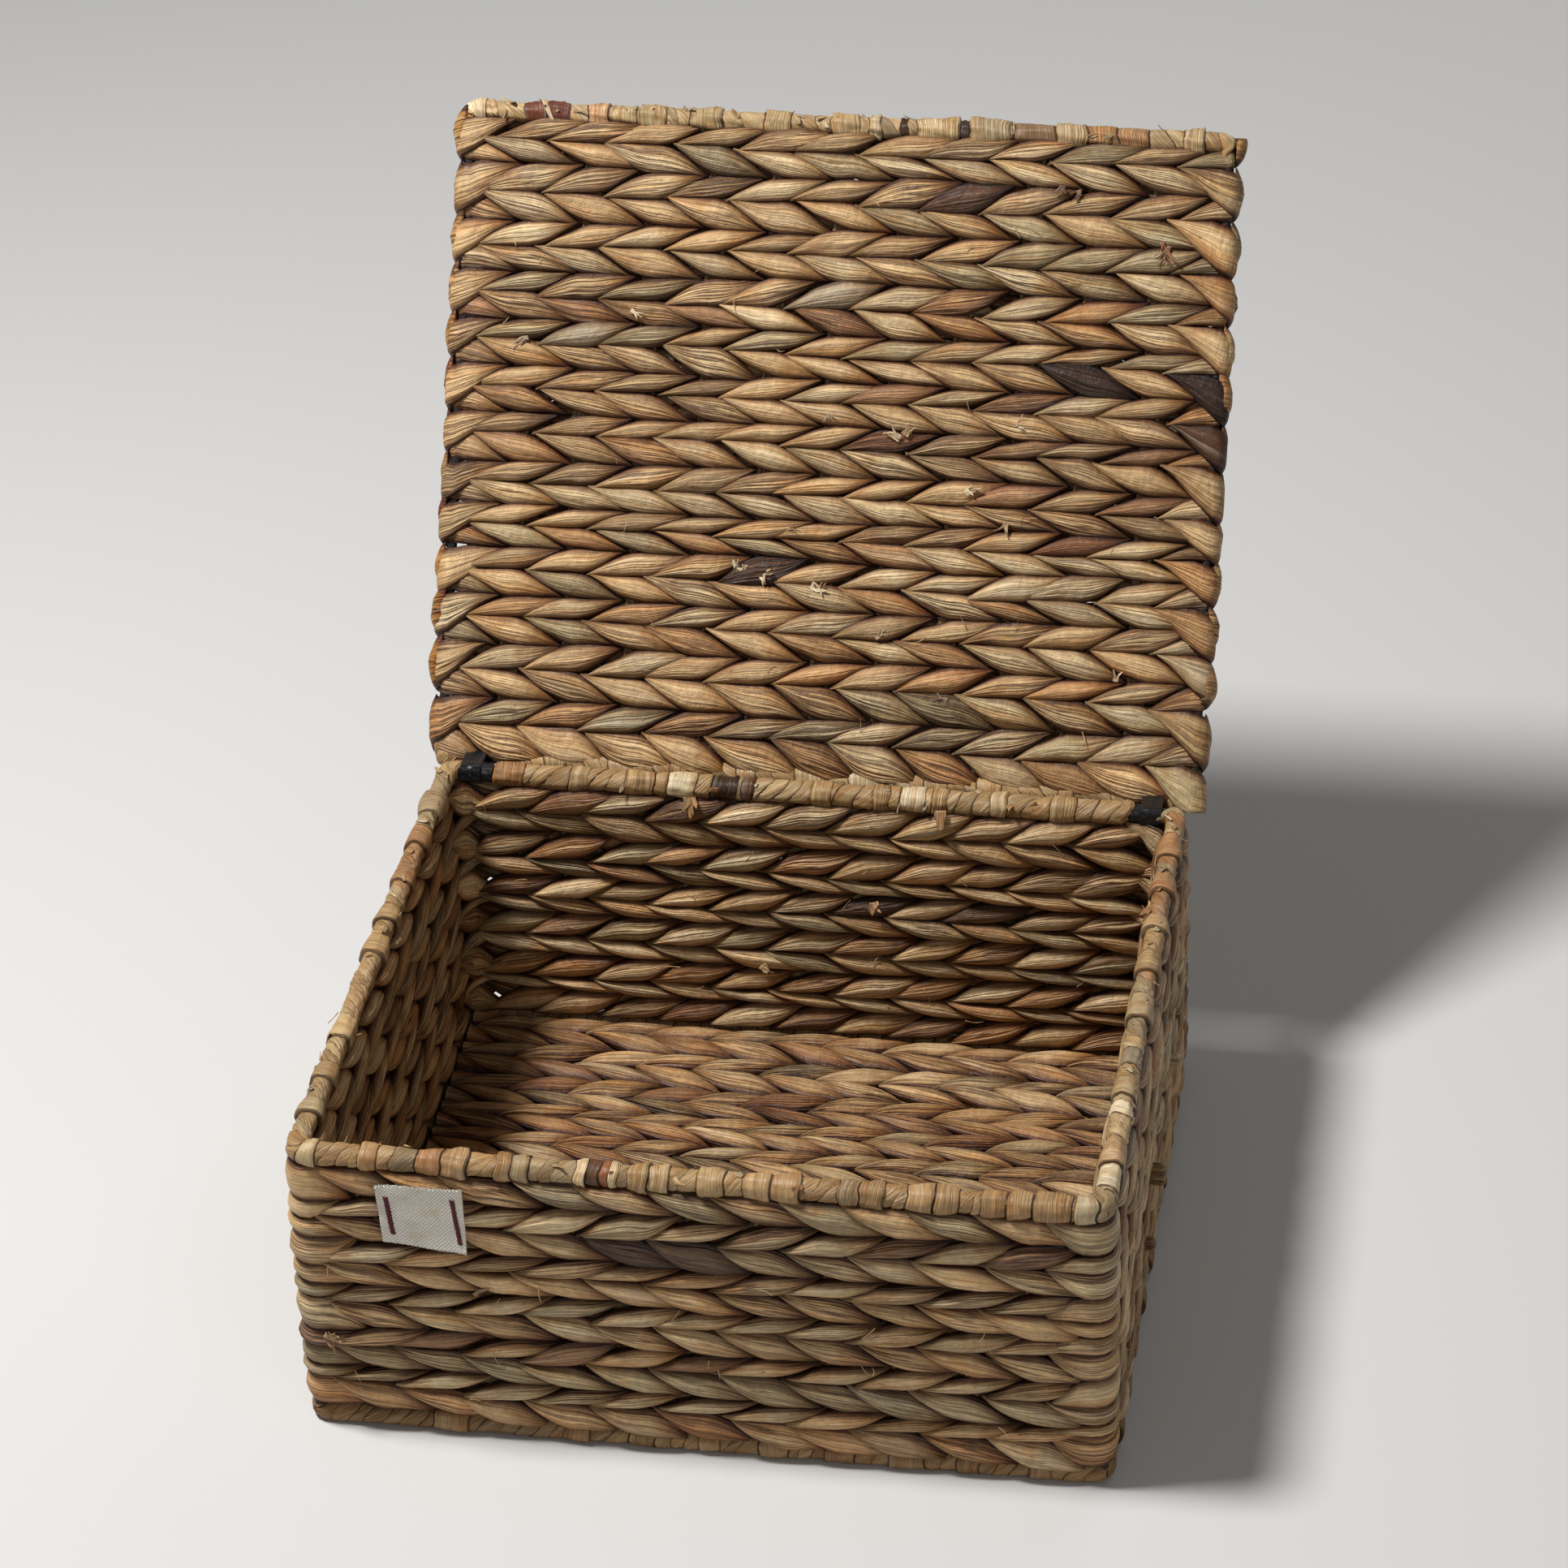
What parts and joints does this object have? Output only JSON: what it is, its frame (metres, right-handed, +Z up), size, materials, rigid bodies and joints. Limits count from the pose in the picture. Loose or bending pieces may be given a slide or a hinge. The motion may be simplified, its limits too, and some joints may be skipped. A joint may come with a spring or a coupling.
{
  "type": "water hyacinth basket",
  "caption": "Oblong storage basket of twined water hyacinth strands on a steel rod frame, with leaf-wrapped rims and a woven lid that swings up and back on two clips.",
  "frame": {"origin": "middle of the floor's underside, on the surface the basket stands on", "axes": "+Z up, +Y towards the back where the lid is hinged, +X to the right seen from the front; the lid is open at rest"},
  "size_m": [0.3756, 0.4846, 0.4218],
  "materials": {
    "strands": "dried water hyacinth stems, satin",
    "leaf_wrap": "thin pale leaf strip, satin",
    "stakes": "rolled leaf strip, dull",
    "frame_steel": "black, satin",
    "clip_plastic": "black, semi-gloss",
    "label_canvas": "plain-weave cotton",
    "label_thread": "maroon sewing thread"
  },
  "bodies": {
    "basket": {"rim_rod_front": "frame_steel", "rim_rod_back": "frame_steel", "rim_rod_left": "frame_steel", "rim_rod_right": "frame_steel", "base_rod_front": "frame_steel", "base_rod_back": "frame_steel", "base_rod_left": "frame_steel", "base_rod_right": "frame_steel", "corner_post_front_left": "frame_steel", "corner_post_front_right": "frame_steel", "corner_post_back_left": "frame_steel", "corner_post_back_right": "frame_steel", "wall_weave_front": "strands", "wall_weave_back": "strands", "wall_weave_left": "strands", "wall_weave_right": "strands", "wall_stakes_front": "stakes", "wall_stakes_back": "stakes", "wall_stakes_left": "stakes", "wall_stakes_right": "stakes", "rim_wrap_front": "leaf_wrap", "rim_wrap_back": "leaf_wrap", "rim_wrap_left": "leaf_wrap", "rim_wrap_right": "leaf_wrap", "base_wrap_front": "leaf_wrap", "base_wrap_back": "leaf_wrap", "base_wrap_left": "leaf_wrap", "base_wrap_right": "leaf_wrap", "floor_weave": "strands", "floor_stakes": "stakes", "label": "label_canvas", "label_stitch_left": "label_thread", "label_stitch_right": "label_thread"},
    "lid": {"lid_rod_front": "frame_steel", "lid_rod_back": "frame_steel", "lid_rod_left": "frame_steel", "lid_rod_right": "frame_steel", "lid_weave": "strands", "lid_stakes": "stakes", "lid_wrap_front": "leaf_wrap", "lid_wrap_back": "leaf_wrap", "hinge_clip_left": "clip_plastic", "hinge_clip_right": "clip_plastic"}
  },
  "joints": [
    {"name": "lid_hinge", "type": "hinge", "parent": "basket", "child": "lid", "pos_m": [0, 0.153, 0.147], "axis": [1, 0, 0], "range_deg": [0, 119]}
  ]
}
